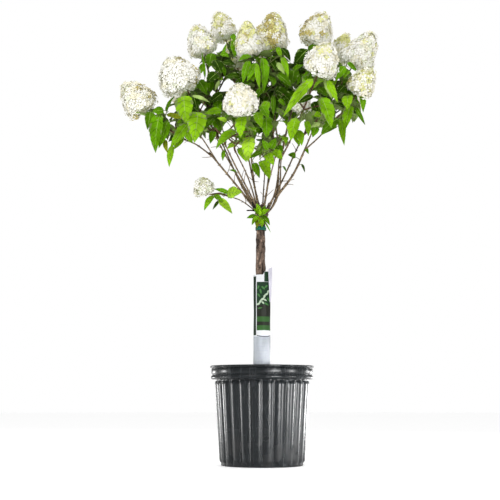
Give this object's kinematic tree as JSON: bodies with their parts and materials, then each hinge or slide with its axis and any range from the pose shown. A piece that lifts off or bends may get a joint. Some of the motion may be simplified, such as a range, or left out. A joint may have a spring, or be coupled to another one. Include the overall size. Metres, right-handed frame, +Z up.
{
  "type": "panicle hydrangea in a nursery pot",
  "caption": "Panicle hydrangea grown as a small standard tree: slender trunk, forked boughs, drooping leaves and conical white flower heads, in a fluted dark nursery pot.",
  "frame": {"origin": "middle of the pot's flat underside, on the surface that the pot stands on", "axes": "+Z up the trunk, +X to the right of the front view, the front towards -Y"},
  "size_m": [0.7824, 0.6462, 1.418],
  "materials": {
    "pot_plastic": "satin",
    "potting_mix": "matte",
    "bark": "matte",
    "young_bark": "matte",
    "label_film": "satin",
    "tie_tape": "satin",
    "foliage": "satin",
    "blossom": "matte"
  },
  "bodies": {
    "root": {"pot": "pot_plastic", "potting_mix": "potting_mix", "trunk": "bark", "wrap_label": "label_film", "tie_band": "tie_tape", "bough_left_long": "young_bark", "bough_left_outer": "young_bark", "bough_left_upper": "young_bark", "bough_left_inner": "young_bark", "bough_front_left": "young_bark", "bough_low_centre": "young_bark", "bough_centre_top": "young_bark", "bough_front_centre": "young_bark", "bough_right_main": "young_bark", "bough_right_crown": "young_bark", "bough_right_top": "young_bark", "bough_right_front": "young_bark", "bough_right_long": "young_bark", "bough_right_high": "young_bark", "bough_right_outer": "young_bark", "bough_low_left": "young_bark", "bough_back_left": "young_bark", "bough_back_centre": "young_bark", "bough_back_crown": "young_bark", "bough_back_right": "young_bark", "bough_back_low": "young_bark", "mass_left_outer": "foliage", "mass_left_upper": "foliage", "mass_left_top": "foliage", "mass_front_left": "foliage", "mass_low_centre": "foliage", "mass_centre_top": "foliage", "mass_front_centre": "foliage", "mass_right_crown": "foliage", "mass_right_top": "foliage", "mass_right_front": "foliage", "mass_right_high": "foliage", "mass_right_outer": "foliage", "mass_low_left": "foliage", "mass_back_left": "foliage", "mass_back_centre": "foliage", "mass_back_crown": "foliage", "mass_back_right": "foliage", "mass_back_low": "foliage", "rosette": "foliage"}
  },
  "joints": []
}
